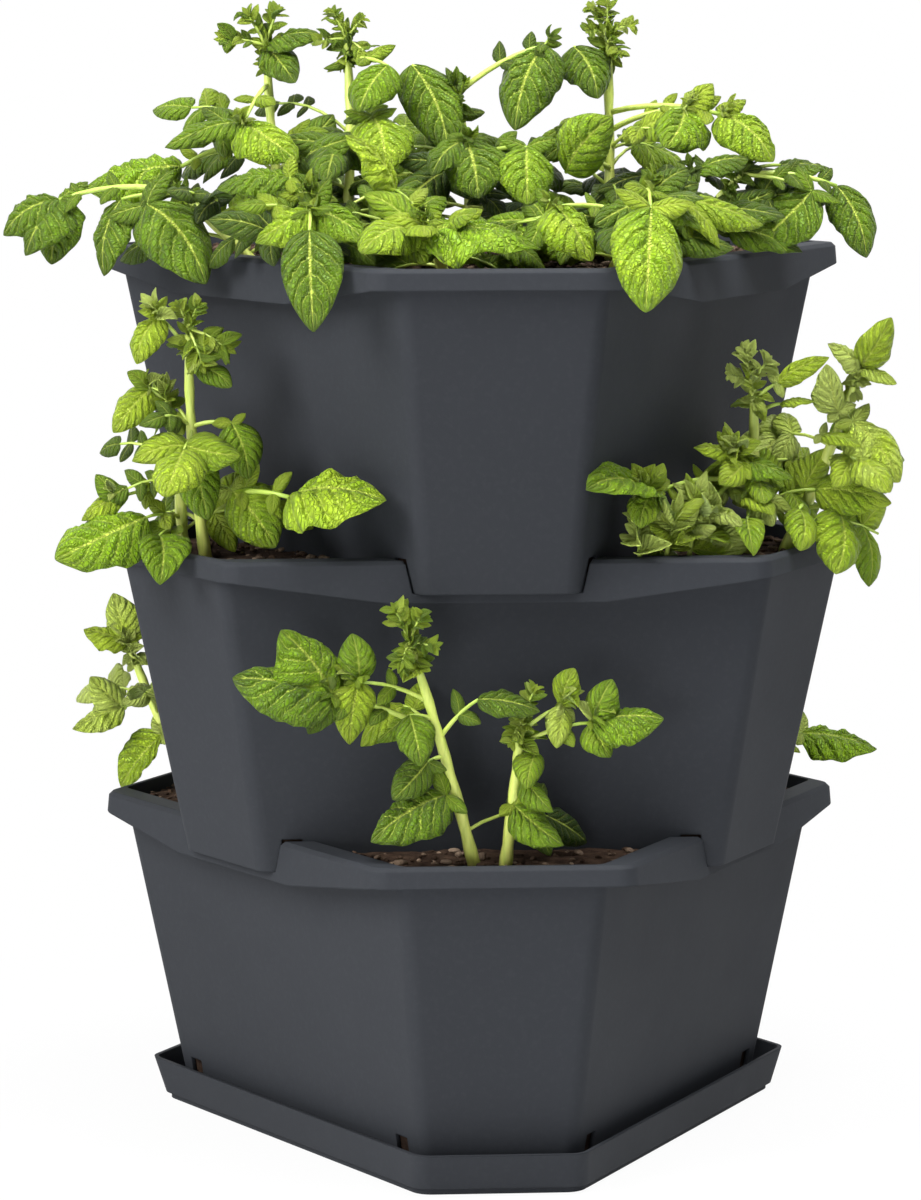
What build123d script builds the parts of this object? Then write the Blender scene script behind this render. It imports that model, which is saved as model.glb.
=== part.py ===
"""Potato tower: three planter tiers stacked in a saucer, with soil and potato plants.

Millimetres, Z up, origin on the floor under the tower's middle, front towards -Y.
"""

import os
from math import cos, radians, sin, sqrt

from build123d import *

# Stack: each tier stands a little way down in the rim of the one below
nest_depth = 20.0
stand_height = 9.5
seat_clearance = 1.5

# Tier tub: a triangle with cut-off corners, drafted so that it widens upwards.
# Each plan is given by the distance from the axis to its short and to its long sides.
tier_height = 200.0
floor_short = 192.5
floor_long = 136.5
draft_short = 0.195
draft_long = 0.165
tub_wall = 2.6
tub_floor = 3.0
tub_corner_radius = 12.0

# Rim: a flange that stands out from the tub, with a hanging skirt that is deeper on the long sides
rim_out_short = 5.0
rim_out_long = 17.0
rim_corner_radius = 16.0
rim_lean = 2.0
rim_bevel = 2.4
flange_thickness = 3.0
skirt_wall = 2.6
skirt_depth_long = 26.0
skirt_depth_short = 13.0
skirt_slope_run = 49.0

# Drain slots beside the bottom corners and in the floor
slot_width = 13.0
slot_height = 21.0
slot_from_corner = 19.0
slot_depth = 16.0
drain_length = 30.0
drain_width = 5.0
drain_ring_radius = 80.0
drain_count = 6

# Saucer: room around the tub, and how far its wall flares out
saucer_foot_inset = 3.0
saucer_foot_height = 4.0
saucer_room_short = 15.5
saucer_room_long = 11.5
saucer_flare_short = 9.0
saucer_flare_long = 4.5
saucer_height = 27.0
saucer_wall = 2.6
saucer_corner_radius = 14.0
bar_width = 5.0
bar_inset = 14.5

# Soil
soil_below_rim = 9.0
soil_gap = 0.5

# Potato plants: angular stems and stalks
stem_radius = 3.4
stem_sides = 6
stalk_radius = 1.8
stalk_sides = 4
blade_thickness = 2.0
blade_width = 0.64
# Along the blade from its stalk to its tip: share of the length, and of the width on each side
blade_stations = ((-0.05, 0.05), (0.12, 0.32), (0.38, 0.5), (0.72, 0.34))

short_sides = (-90, 30, 150)
long_sides = (-30, 90, 210)
turn_step = 60.0
over_cut = 1.0
slab_size = 1200.0


def facing(angle, distance=0.0):
    """An upright plane that looks outwards at an angle, at a distance from the axis."""
    out = (cos(radians(angle)), sin(radians(angle)), 0)
    along = (-sin(radians(angle)), cos(radians(angle)), 0)
    return Plane((out[0] * distance, out[1] * distance, 0), x_dir=along, z_dir=out)


def drafted(low, low_z, high, high_z, radius, turn=0.0):
    """A straight-sided block between two truncated triangles, each given as (short, long).

    It is a slab cut by six leaning planes, with the edges between them rounded.
    """
    with BuildPart() as block:
        with BuildSketch(Plane.XY.offset(low_z)):
            Rectangle(slab_size, slab_size)
        extrude(amount=high_z - low_z)
        for sides, near, far in ((short_sides, low[0], high[0]), (long_sides, low[1], high[1])):
            for side_angle in sides:
                side = facing(side_angle + turn)
                lean = side.z_dir * (high_z - low_z) - Vector(0, 0, far - near)
                corner = side.z_dir * near + Vector(0, 0, low_z)
                split(bisect_by=Plane(corner, z_dir=lean), keep=Keep.BOTTOM)
        upright = block.edges().filter_by(lambda edge: edge.bounding_box().size.Z > (high_z - low_z) / 2)
        fillet(upright, radius)
    return block.part


def tub_plan(height, grow=0.0):
    """Plan of the tub's outside at a height over its underside, grown outwards by a distance."""
    return floor_short + draft_short * height + grow, floor_long + draft_long * height + grow


def inset(plan, distance):
    """A plan with every side moved inwards."""
    return plan[0] - distance, plan[1] - distance


# Saucer: stepped-in foot, flared wall, and crossed bars that hold the tower clear of the water
saucer_low = (floor_short + saucer_room_short, floor_long + saucer_room_long)
saucer_top = (saucer_low[0] + saucer_flare_short, saucer_low[1] + saucer_flare_long)
saucer_foot = inset(saucer_low, saucer_foot_inset)
bar_end = inset(tub_plan(0), bar_inset)
ledge_z = saucer_foot_height + saucer_wall
with BuildPart() as saucer:
    add(drafted(saucer_low, saucer_foot_height, saucer_top, saucer_height, saucer_corner_radius))
    add(drafted(saucer_foot, 0, saucer_foot, ledge_z, saucer_corner_radius))
    add(drafted(
        inset(saucer_low, saucer_wall), ledge_z, inset(saucer_top, saucer_wall), saucer_height + over_cut,
        saucer_corner_radius - saucer_wall,
    ), mode=Mode.SUBTRACT)
    add(drafted(
        inset(saucer_foot, saucer_wall), saucer_wall, inset(saucer_foot, saucer_wall), ledge_z + over_cut,
        saucer_corner_radius - saucer_wall,
    ), mode=Mode.SUBTRACT)
    with BuildSketch(Plane.XY.offset(saucer_wall)):
        with PolarLocations(0, 3, start_angle=-90):
            with Locations(((bar_end[0] - bar_end[1]) / 2, 0)):
                Rectangle(bar_end[0] + bar_end[1], bar_width)
    extrude(amount=stand_height - saucer_wall)

# Heights that the tub, its rim and its soil share
stack_pitch = tier_height - nest_depth
rim_low = (tub_plan(tier_height)[0] + rim_out_short, tub_plan(tier_height)[1] + rim_out_long)
rim_top = inset(rim_low, rim_lean)
rim_corner = (2 * rim_low[1] - rim_low[0]) / sqrt(3)
flange_low = tier_height - flange_thickness
skirt_low_long = tier_height - skirt_depth_long
skirt_low_short = tier_height - skirt_depth_short
soil_level = tier_height - soil_below_rim
tub_inside = drafted(
    tub_plan(tub_floor, -tub_wall), tub_floor,
    tub_plan(tier_height + over_cut, -tub_wall), tier_height + over_cut,
    tub_corner_radius - tub_wall,
)

# Tub of the top tier, with a rim that is closed all round
with BuildPart() as tub:
    # Flange and skirt
    add(drafted(rim_low, skirt_low_long, rim_top, tier_height, rim_corner_radius))
    chamfer(tub.faces().sort_by(Axis.Z)[-1].outer_wire().edges(), rim_bevel)
    add(drafted(
        inset(rim_low, skirt_wall), skirt_low_long, inset(rim_top, skirt_wall), flange_low,
        rim_corner_radius - skirt_wall,
    ), mode=Mode.SUBTRACT)
    # The skirt's lower edge climbs towards each short side
    for side_angle in short_sides:
        with BuildSketch(facing(side_angle)):
            with BuildLine():
                Polyline(
                    (-rim_corner - skirt_slope_run, skirt_low_long),
                    (-rim_corner, skirt_low_short),
                    (rim_corner, skirt_low_short),
                    (rim_corner + skirt_slope_run, skirt_low_long),
                    close=True,
                )
            make_face()
        extrude(amount=rim_low[0] * 2, mode=Mode.SUBTRACT)
    # Walls and floor
    add(drafted(tub_plan(0), 0, tub_plan(flange_low), flange_low, tub_corner_radius))
    add(tub_inside, mode=Mode.SUBTRACT)
    # Drain slots at both ends of each long wall
    slot_place = (2 * floor_short - floor_long) / sqrt(3) - slot_from_corner
    for side_angle in long_sides:
        with BuildSketch(facing(side_angle, floor_long + slot_depth / 2)):
            with Locations((-slot_place, slot_height / 2), (slot_place, slot_height / 2)):
                Rectangle(slot_width, slot_height)
        extrude(amount=-slot_depth, mode=Mode.SUBTRACT)
    # Drain slots in the floor
    with BuildSketch():
        with PolarLocations(drain_ring_radius, drain_count):
            Rectangle(drain_length, drain_width)
    extrude(amount=tub_floor, mode=Mode.SUBTRACT)

# Floors and webs of the three seats: the outline of the tier above, with its play and a wall around it
with BuildPart() as seat_webs:
    add(drafted(rim_low, skirt_low_long, rim_top, tier_height, rim_corner_radius))
    add(drafted(
        tub_plan(0, seat_clearance + skirt_wall), stack_pitch - flange_thickness,
        tub_plan(nest_depth, seat_clearance + skirt_wall), flange_low,
        tub_corner_radius, turn_step,
    ), mode=Mode.INTERSECT)

# Tub of the lower tiers, with notches in the rim that the corners of the tier above stand in
with BuildPart() as seated_tub:
    add(tub.part)
    add(seat_webs.part)
    add(tub_inside, mode=Mode.SUBTRACT)
    add(drafted(
        tub_plan(0, seat_clearance), stack_pitch,
        tub_plan(nest_depth + over_cut, seat_clearance), tier_height + over_cut,
        tub_corner_radius, turn_step,
    ), mode=Mode.SUBTRACT)

# Soil fills a tub and leaves room for the tier that stands in it
with BuildPart() as top_soil:
    add(drafted(
        tub_plan(tub_floor, -tub_wall - soil_gap), tub_floor,
        tub_plan(soil_level, -tub_wall - soil_gap), soil_level,
        tub_corner_radius - tub_wall,
    ))
with BuildPart() as lower_soil:
    add(top_soil.part)
    add(drafted(
        tub_plan(0, soil_gap), stack_pitch - soil_gap, tub_plan(nest_depth, soil_gap), tier_height,
        tub_corner_radius, turn_step,
    ), mode=Mode.SUBTRACT)

# The plants are laid out for a rim of 236.5 by 186.5.
# Their roots keep to the pockets and their leaves clear the rim.
root_spread = rim_low[0] / 236.5
plant_spread = max(root_spread, rim_low[1] / 186.5)


def blade_outline(length):
    """Corners of one leaf blade that lies along X from its stalk."""
    width = blade_width * length
    near = [(along * length, across * width) for along, across in blade_stations]
    far = [(along * length, -across * width) for along, across in reversed(blade_stations)]
    return near + [(length, 0)] + far


def grown(ground, point):
    """Where a point of a plant lies: laid out over the ground and spread as wide as the rim is."""
    return Vector(*point) * plant_spread + Vector(0, 0, ground)


def potato_plant(ground, light, root, top, leaves):
    """A stem standing on the ground, with stalks that end in leaf blades turned towards the light.

    The root is (x, y) and the top (x, y, z). A leaf is the share of the stem below it,
    the end of its stalk and the tips of its blades.
    """
    foot = Vector(root[0] * root_spread, root[1] * root_spread, ground)
    stem = grown(ground, top) - foot
    with BuildPart() as plant:
        with BuildSketch(Plane(foot - stem.normalized() * stem_radius, z_dir=stem)):
            RegularPolygon(stem_radius, stem_sides)
        extrude(amount=stem.length + stem_radius)
        split(bisect_by=Plane.XY.offset(ground), keep=Keep.TOP)
        for share, stalk_end, tips in leaves:
            fork = foot + stem * share
            stalk = grown(ground, stalk_end) - fork
            with BuildSketch(Plane(fork, z_dir=stalk)):
                RegularPolygon(stalk_radius, stalk_sides)
            extrude(amount=stalk.length + stalk_radius)
        for share, stalk_end, tips in leaves:
            for tip in tips:
                blade = grown(ground, tip) - grown(ground, stalk_end)
                across = Vector(*light).cross(blade)
                with BuildSketch(Plane(grown(ground, stalk_end), x_dir=blade, z_dir=blade.cross(across))):
                    with BuildLine():
                        Polyline(*blade_outline(blade.length), close=True)
                    make_face()
        extrude(amount=blade_thickness / 2, both=True)
    return plant.part


# Each plant: the way its leaves face, its root, its top and its leaves, over the ground it stands on
bottom_plants = {
    "plant_front_left": ((0, -1, 0.6), (-14, -190), (-54, -208, 139), (
        (0.55, (-101, -212, 110), ((-162, -216, 123), (-133, -218, 152), (-117, -224, 90))),
        (0.74, (-86, -211, 119), ((-92, -216, 82), (-90, -214, 149))),
        (0.99, (-55, -209, 143), ((-67, -216, 168), (-47, -218, 164), (-37, -216, 139), (-63, -224, 126))),
        (0.62, (-14, -213, 108), ((23, -218, 101),)),
        (0.66, (-55, -208, 98), ((-49, -222, 69),)),
        (0.50, (-44, -206, 69), ((-66, -218, 48),)),
        (0.28, (-33, -204, 48), ((-79, -216, 22),)),
    )),
    "plant_front_right": ((0, -1, 0.6), (4, -192), (13, -206, 93), (
        (0.99, (14, -207, 96), ((4, -216, 79), (22, -212, 117))),
        (0.86, (55, -212, 93), ((98, -218, 96), (67, -216, 120), (65, -226, 74))),
        (0.92, (37, -211, 103), ((44, -216, 127), (33, -220, 79))),
        (0.55, (22, -205, 74), ((15, -220, 54),)),
        (0.45, (15, -204, 57), ((31, -216, 39),)),
        (0.30, (9, -203, 41), ((38, -214, 18),)),
    )),
    "plant_back_left": ((-0.5, -0.6, 0.7), (-182, 98), (-226, 112, 98), (
        (0.99, (-227, 112, 99), ((-256, 110, 108), (-236, 114, 132), (-212, 122, 112))),
        (0.60, (-230, 106, 56), ((-264, 102, 42), (-252, 110, 76))),
        (0.34, (-204, 98, 38), ((-232, 104, 2),)),
    )),
    "plant_back_right": ((0.5, -0.6, 0.7), (182, 98), (208, 106, 40), (
        (0.98, (228, 100, 34), ((278, 92, 24),)),
        (0.99, (209, 107, 42), ((198, 128, 68), (226, 126, 62))),
    )),
}
middle_plants = {
    "plant_left_tall": ((-0.3, -1, 0.6), (-176, -101), (-186, -112, 142), (
        (0.99, (-186, -113, 146), (
            (-194, -120, 164), (-178, -124, 165), (-157, -124, 131), (-176, -128, 119),
        )),
        (0.94, (-204, -114, 153), ((-218, -124, 125), (-217, -118, 157))),
        (0.82, (-180, -118, 123), ((-160, -128, 111),)),
        (0.56, (-185, -118, 71), ((-175, -140, 30), (-217, -126, 67))),
        (0.62, (-160, -124, 88), ((-150, -136, 55),)),
        (0.28, (-126, -160, 46), ((-69, -202, 48),)),
        (0.30, (-160, -130, 47), ((-134, -150, 14),)),
    )),
    "plant_left_low": ((-0.3, -1, 0.6), (-190, -84), (-200, -96, 100), (
        (0.98, (-210, -97, 107), ((-233, -104, 81), (-224, -98, 118))),
        (0.40, (-229, -108, 41), ((-253, -112, 27), (-244, -106, 55))),
        (0.24, (-213, -114, 29), ((-269, -138, 6),)),
        (0.18, (-205, -128, 19), ((-205, -162, -7),)),
    )),
    "plant_right_tall": ((0.3, -1, 0.6), (165, -98), (164, -116, 107), (
        (0.99, (163, -117, 110), ((156, -124, 137), (175, -124, 128), (145, -128, 118))),
        (0.90, (179, -121, 111), ((210, -128, 127),)),
        (0.80, (181, -121, 98), ((201, -130, 100),)),
        (0.42, (96, -170, 47), ((51, -214, 55), (85, -200, 30))),
        (0.52, (153, -130, 64), ((186, -146, 54), (124, -146, 73))),
        (0.48, (132, -146, 36), ((151, -168, 27), (109, -162, 53))),
        (0.36, (157, -150, 29), ((157, -180, 10),)),
        (0.44, (155, -140, 41), ((172, -160, 33),)),
    )),
    "plant_right_low": ((0.3, -1, 0.6), (186, -96), (231, -112, 117), (
        (0.99, (232, -113, 119), ((250, -120, 151), (210, -122, 135), (253, -124, 110))),
        (0.72, (227, -115, 86), ((255, -128, 49),)),
        (0.78, (217, -119, 92), ((208, -130, 123),)),
        (0.60, (207, -121, 78), ((230, -134, 72),)),
        (0.26, (218, -122, 31), ((213, -146, -6),)),
        (0.24, (192, -132, 33), ((189, -156, 10),)),
    )),
}
top_plants = {
    "plant_top_left_tall": ((-0.2, -0.7, 0.8), (-120, -30), (-134, -10, 135), (
        (0.99, (-135, -10, 138), (
            (-168, -16, 142), (-150, -12, 162), (-126, -14, 164), (-101, -20, 145), (-117, -34, 115),
        )),
        (0.80, (-150, -50, 90), ((-118, -80, 68), (-184, -56, 81))),
        (0.55, (-189, -22, 62), ((-251, -10, 48),)),
    )),
    "plant_top_left_side": ((-0.4, -0.7, 0.7), (-140, -60), (-193, -60, 48), (
        (0.98, (-211, -66, 40), ((-175, -106, -7),)),
        (0.94, (-227, -56, 43), ((-238, -72, -4),)),
        (0.98, (-266, -40, 42), ((-301, -44, 20), (-287, -58, 8), (-271, -50, 2), (-248, -36, 53))),
    )),
    "plant_top_left_front": ((-0.3, -0.7, 0.8), (-104, -130), (-112, -160, 49), (
        (0.98, (-112, -172, 41), ((-146, -182, 22), (-80, -190, 22), (-100, -160, 60))),
        (0.92, (-114, -196, 30), ((-113, -230, -28),)),
        (0.70, (-124, -130, 59), ((-168, -124, 52),)),
    )),
    "plant_top_middle_tall": ((0, -0.7, 0.8), (-88, -44), (-84, -20, 139), (
        (0.99, (-84, -20, 142), ((-107, -26, 139), (-96, -22, 162), (-72, -26, 157), (-67, -36, 128))),
        (0.90, (-60, -60, 126), ((-79, -84, 98),)),
        (0.62, (-70, -70, 94), ((-65, -104, 61),)),
    )),
    "plant_top_middle_bush": ((0, -0.7, 0.8), (-8, -70), (-16, -50, 108), (
        (0.98, (-44, -44, 126), ((-23, -76, 73),)),
        (0.98, (40, -40, 138), ((19, -72, 86), (14, -34, 115))),
        (0.70, (-14, -96, 80), ((-8, -126, 46), (-36, -120, 60))),
        (0.60, (24, -100, 76), ((22, -132, 42),)),
    )),
    "plant_top_middle_front": ((0, -0.7, 0.8), (-30, -150), (-44, -186, 34), (
        (0.98, (-44, -190, 29), ((24, -206, 19), (-70, -206, 18))),
        (0.92, (-60, -150, 52), ((-91, -162, 86),)),
    )),
    "plant_top_right_tall": ((0.2, -0.7, 0.8), (84, -30), (83, -16, 141), (
        (0.99, (82, -16, 145), (
            (68, -20, 164), (82, -18, 168), (102, -22, 152), (66, -26, 148), (90, -32, 130),
        )),
        (0.90, (60, -24, 137), ((73, -48, 105),)),
        (0.42, (49, -96, 61), ((76, -112, 95),)),
        (0.62, (128, -46, 98), ((113, -78, 75), (147, -40, 114))),
        (0.66, (151, -50, 95), ((182, -70, 66), (168, -40, 104))),
    )),
    "plant_top_right_side": ((0.3, -0.7, 0.8), (120, -60), (162, -60, 57), (
        (0.80, (130, -90, 60), ((164, -86, 68), (107, -104, 50))),
        (0.96, (207, -66, 47), ((168, -74, 11),)),
        (0.98, (224, -58, 50), ((240, -80, 6),)),
        (0.98, (189, -50, 63), ((221, -44, 61),)),
    )),
    "plant_top_right_front": ((0.2, -0.7, 0.8), (74, -140), (91, -176, 53), (
        (0.98, (92, -184, 49), ((57, -198, 33), (122, -196, 30), (116, -172, 65))),
        (0.96, (88, -224, 44), ((81, -264, -15),)),
        (0.70, (35, -184, 43), ((54, -210, 12), (23, -178, 54))),
    )),
}

os.makedirs("parts", exist_ok=True)
saucer.part.label = "saucer"
export_step(saucer.part, "parts/saucer.step")

# Every second tier is turned, so that its corners meet the seats below
for level, place in enumerate(("bottom", "middle", "top")):
    at = Location((0, 0, stand_height + level * stack_pitch), (0, 0, level * turn_step))
    with BuildPart() as tier:
        with Locations(at):
            add(tub.part if place == "top" else seated_tub.part)
    tier.part.label = "tier_" + place
    export_step(tier.part, "parts/tier_" + place + ".step")
    with BuildPart() as soil:
        with Locations(at):
            add(top_soil.part if place == "top" else lower_soil.part)
    soil.part.label = "soil_" + place
    export_step(soil.part, "parts/soil_" + place + ".step")

grounds = [stand_height + soil_level + level * stack_pitch for level in range(3)]
for ground, plants in zip(grounds, (bottom_plants, middle_plants, top_plants)):
    for name, growth in plants.items():
        plant = potato_plant(ground, *growth)
        plant.label = name
        export_step(plant, "parts/" + name + ".step")
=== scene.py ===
"""Looks of the potato tower: moulded plastic, loose soil and potato plants in a white studio.

Metres, in the frame of the CAD model. Plant points are in millimetres over their own ground.
"""

import random
from math import cos, pi, radians, sin

import bpy
from mathutils import Matrix, Vector, noise


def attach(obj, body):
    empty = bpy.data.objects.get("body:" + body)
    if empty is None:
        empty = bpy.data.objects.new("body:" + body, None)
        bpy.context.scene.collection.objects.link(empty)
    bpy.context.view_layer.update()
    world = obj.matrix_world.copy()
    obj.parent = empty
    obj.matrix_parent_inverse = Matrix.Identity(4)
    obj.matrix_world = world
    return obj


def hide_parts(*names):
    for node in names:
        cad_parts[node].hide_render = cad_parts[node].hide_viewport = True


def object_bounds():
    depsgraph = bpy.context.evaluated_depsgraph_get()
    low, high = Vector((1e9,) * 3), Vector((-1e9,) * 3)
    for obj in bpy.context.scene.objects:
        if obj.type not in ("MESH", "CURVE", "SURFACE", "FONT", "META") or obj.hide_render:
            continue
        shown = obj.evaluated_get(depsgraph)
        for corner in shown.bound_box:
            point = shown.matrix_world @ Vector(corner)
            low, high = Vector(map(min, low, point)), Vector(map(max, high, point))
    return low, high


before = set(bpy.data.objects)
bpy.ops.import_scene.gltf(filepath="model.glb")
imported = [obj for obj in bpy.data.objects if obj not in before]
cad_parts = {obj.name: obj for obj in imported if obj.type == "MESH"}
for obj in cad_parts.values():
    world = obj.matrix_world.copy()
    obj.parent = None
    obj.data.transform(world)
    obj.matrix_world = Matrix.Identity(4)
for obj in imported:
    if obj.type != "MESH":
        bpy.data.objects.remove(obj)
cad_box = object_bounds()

MM = 0.001

# Sizes of the tower that the plants and the soil have to fit, in millimetres and degrees
stand_height = 9.5
stack_pitch = 180.0
tier_height = 200.0
soil_level = 191.0
floor_short, floor_long = 192.5, 136.5
draft_short, draft_long = 0.195, 0.165
tub_wall = 2.6
rim_short, rim_long = 236.5, 186.5
skirt_low = 174.0
turn_step = 60
short_sides = (-90, 30, 150)
long_sides = (-30, 90, 210)
levels = {"tier_bottom": 0, "tier_middle": 1, "tier_top": 2}
grounds = [stand_height + soil_level + level * stack_pitch for level in range(3)]

# Side veins of a leaf, the same in its shape and in its colour: how many, how far they slant and bend
# towards the tip, how much they wander, and how far they shift from leaf to leaf
vein_count = 6
vein_slant = 0.33
vein_bend = 1.25
vein_wobble = 0.09
vein_shift = 0.167

# Plants, in metres, radians and shares of a stem's length
stem_steps = 12
stem_radius, stem_thinning, stem_knots = 0.0039, 0.0014, 0.0004
# Leaves from here upwards belong to the crown, where those shorter than the young size are still half open
crown_share = 0.985
young_size = 0.036
# Longer blades are broad, and one whose tip is this many millimetres under its base hangs
broad_size = 0.040
hanging_drop = 40
# Sizes of the leaves beyond those of the solids, and the turn from one leaf around a stem to the next
extra_sizes = (0.020, 0.028, 0.036, 0.048)
leaf_turn = 2.4
blade_thickness = 0.0005
# Steps along and across a blade, and how high its cushions are where it has enough steps for them
large_grid = (36, 12)
middle_grid = (24, 10)
end_grid = (9, 6)
small_grid = (8, 6)
tiny_grid = (7, 6)
cushion_steps = 20
cushion_height = 0.055


def plan_reach(point, level):
    """How far a point in millimetres lies towards the nearest short and long side of a tier."""
    reach = []
    for sides in (short_sides, long_sides):
        turned = [radians(side + turn_step * level) for side in sides]
        reach.append(max(point[0] * cos(side) + point[1] * sin(side) for side in turned))
    return reach


def in_tub(point, level, height, grow):
    """Whether a point lies within the tub's outside at a height, grown by a distance."""
    short, long = plan_reach(point, level)
    in_short = short < floor_short + draft_short * height + grow
    return in_short and long < floor_long + draft_long * height + grow


def blocked(point, margin):
    """Whether a point in millimetres lies in or against a tier or its soil."""
    for level in range(3):
        height = point[2] - stand_height - level * stack_pitch
        if height < -margin or height > tier_height + margin:
            continue
        if height > soil_level + 1 and in_tub(point, level, height, -tub_wall - margin):
            continue
        if in_tub(point, level, height, margin):
            return True
        short, long = plan_reach(point, level)
        if height > skirt_low - margin and short < rim_short + margin and long < rim_long + margin:
            return True
    return False


def clear(points, margin):
    """Whether every point, in metres, keeps off the tiers."""
    return not any(blocked(point / MM, margin) for point in points)


def in_box(points):
    """Whether every point, in metres, stays in the model's box."""
    low, high = cad_box
    return all(low[axis] < point[axis] < high[axis] for point in points for axis in range(3))


# Materials


class Paint:
    """The nodes of a material or of the world, and short ways to add to them."""

    def __init__(self, owner):
        owner.use_nodes = True
        self.owner = owner
        self.nodes = owner.node_tree.nodes
        self.links = owner.node_tree.links

    def feed(self, socket, value):
        """Give a socket a number, a colour or the output of another node."""
        if isinstance(value, bpy.types.NodeSocket):
            self.links.new(value, socket)
        elif socket.type == "RGBA":
            socket.default_value = (*value, 1)
        else:
            socket.default_value = value

    def dress(self, inputs):
        """Feed the main shader's inputs."""
        for name, value in inputs.items():
            self.feed(self.nodes["Principled BSDF"].inputs[name], value)

    def coordinates(self, kind):
        """Coordinates of the object, of the leaf or of the world."""
        return self.nodes.new("ShaderNodeTexCoord").outputs[kind]

    def stretched(self, kind, scale):
        """Coordinates with a scale of their own along each axis."""
        node = self.nodes.new("ShaderNodeMapping")
        node.inputs["Scale"].default_value = scale
        self.feed(node.inputs["Vector"], self.coordinates(kind))
        return node.outputs["Vector"]

    def parts(self, vector):
        """The three parts of a vector."""
        node = self.nodes.new("ShaderNodeSeparateXYZ")
        self.feed(node.inputs["Vector"], vector)
        return node.outputs["X"], node.outputs["Y"], node.outputs["Z"]

    def tint(self):
        """The three numbers that a mesh carries at each point."""
        attribute = self.nodes.new("ShaderNodeAttribute")
        attribute.attribute_name = "tint"
        node = self.nodes.new("ShaderNodeSeparateColor")
        self.feed(node.inputs["Color"], attribute.outputs["Color"])
        return node.outputs["Red"], node.outputs["Green"], node.outputs["Blue"]

    def math(self, operation, *values):
        """The result of a sum on numbers or sockets."""
        node = self.nodes.new("ShaderNodeMath")
        node.operation = operation
        for socket, value in zip(node.inputs, values):
            self.feed(socket, value)
        return node.outputs[0]

    def ease(self, value, low, high, to_low, to_high):
        """A value mapped smoothly from one range to another."""
        node = self.nodes.new("ShaderNodeMapRange")
        node.interpolation_type = "SMOOTHSTEP"
        self.feed(node.inputs["Value"], value)
        node.inputs["From Min"].default_value = low
        node.inputs["From Max"].default_value = high
        node.inputs["To Min"].default_value = to_low
        node.inputs["To Max"].default_value = to_high
        return node.outputs["Result"]

    def mix(self, factor, first, second):
        """A colour mixed from two colours or sockets."""
        node = self.nodes.new("ShaderNodeMix")
        node.data_type = "RGBA"
        self.feed(node.inputs["Factor"], factor)
        for name, value in (("A", first), ("B", second)):
            socket = [item for item in node.inputs if item.name == name and item.type == "RGBA"][0]
            self.feed(socket, value)
        return [item for item in node.outputs if item.type == "RGBA"][0]

    def ramp(self, value, stops):
        """A colour read from places and their colours."""
        node = self.nodes.new("ShaderNodeValToRGB")
        row = node.color_ramp.elements
        for end, (place, colour) in ((row[0], stops[0]), (row[1], stops[-1])):
            end.position = place
            end.color = (*colour, 1)
        for place, colour in stops[1:-1]:
            row.new(place).color = (*colour, 1)
        self.feed(node.inputs["Fac"], value)
        return node.outputs["Color"]

    def noise(self, scale, detail, vector=None, roughness=0.55):
        """A noise value, in object coordinates unless given others."""
        node = self.nodes.new("ShaderNodeTexNoise")
        node.inputs["Scale"].default_value = scale
        node.inputs["Detail"].default_value = detail
        node.inputs["Roughness"].default_value = roughness
        self.feed(node.inputs["Vector"], self.coordinates("Object") if vector is None else vector)
        return node.outputs["Fac"]

    def bump(self, height, strength, distance, normal=None):
        """A bumped normal from a height."""
        node = self.nodes.new("ShaderNodeBump")
        node.inputs["Strength"].default_value = strength
        node.inputs["Distance"].default_value = distance
        self.feed(node.inputs["Height"], height)
        if normal is not None:
            self.feed(node.inputs["Normal"], normal)
        return node.outputs["Normal"]

    def seen(self):
        """One for what the camera sees, also in gloss and through glass, and zero for other light."""
        path = self.nodes.new("ShaderNodeLightPath")
        seen = self.math("MAXIMUM", path.outputs["Is Camera Ray"], path.outputs["Is Glossy Ray"])
        return self.math("MAXIMUM", seen, path.outputs["Is Transmission Ray"])

    def blend(self, share, first, second, output):
        """Show two shaders mixed."""
        node = self.nodes.new("ShaderNodeMixShader")
        self.feed(node.inputs["Fac"], share)
        self.feed(node.inputs[1], first.outputs[0])
        self.feed(node.inputs[2], second.outputs[0])
        self.feed(self.nodes[output].inputs["Surface"], node.outputs["Shader"])


def plastic():
    """Anthracite moulded plastic: fine grain, faint flow marks and dust, softened edges."""
    paint = Paint(bpy.data.materials.new("anthracite_plastic"))
    base = paint.mix(paint.noise(6.0, 4.0), (0.0265, 0.0287, 0.0335), (0.030, 0.0327, 0.038))
    dust = paint.ease(paint.noise(260.0, 2.0), 0.45, 0.75, 0.0, 0.16)
    soft_edge = paint.nodes.new("ShaderNodeBevel")
    soft_edge.samples = 4
    soft_edge.inputs["Radius"].default_value = 0.0016
    flow = paint.bump(paint.noise(9.0, 2.0), 0.03, 0.004, soft_edge.outputs["Normal"])
    paint.dress({
        "Base Color": paint.mix(dust, base, (0.043, 0.047, 0.054)),
        "Roughness": paint.ease(paint.noise(18.0, 5.0), 0.25, 0.75, 0.56, 0.62),
        "Specular IOR Level": 0.06,
        "Normal": paint.bump(paint.noise(900.0, 2.0), 0.12, 0.0006, flow),
    })
    return paint.owner


def compost(name, dark, light, chips):
    """Moist potting soil: dark crumbs, with paler chips among the loose ones."""
    paint = Paint(bpy.data.materials.new(name))
    clods = paint.noise(70.0, 6.0, roughness=0.7)
    colour = paint.ramp(clods, ((0.34, dark), (0.72, light)))
    if chips:
        pale = paint.mix(clods, (0.20, 0.135, 0.092), (0.40, 0.30, 0.22))
        colour = paint.mix(paint.tint()[0], colour, pale)
    paint.dress({
        "Base Color": colour,
        "Roughness": 0.92,
        "Specular IOR Level": 0.08,
        "Normal": paint.bump(paint.noise(420.0, 4.0, roughness=0.7), 0.8, 0.002),
    })
    return paint.owner


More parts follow.
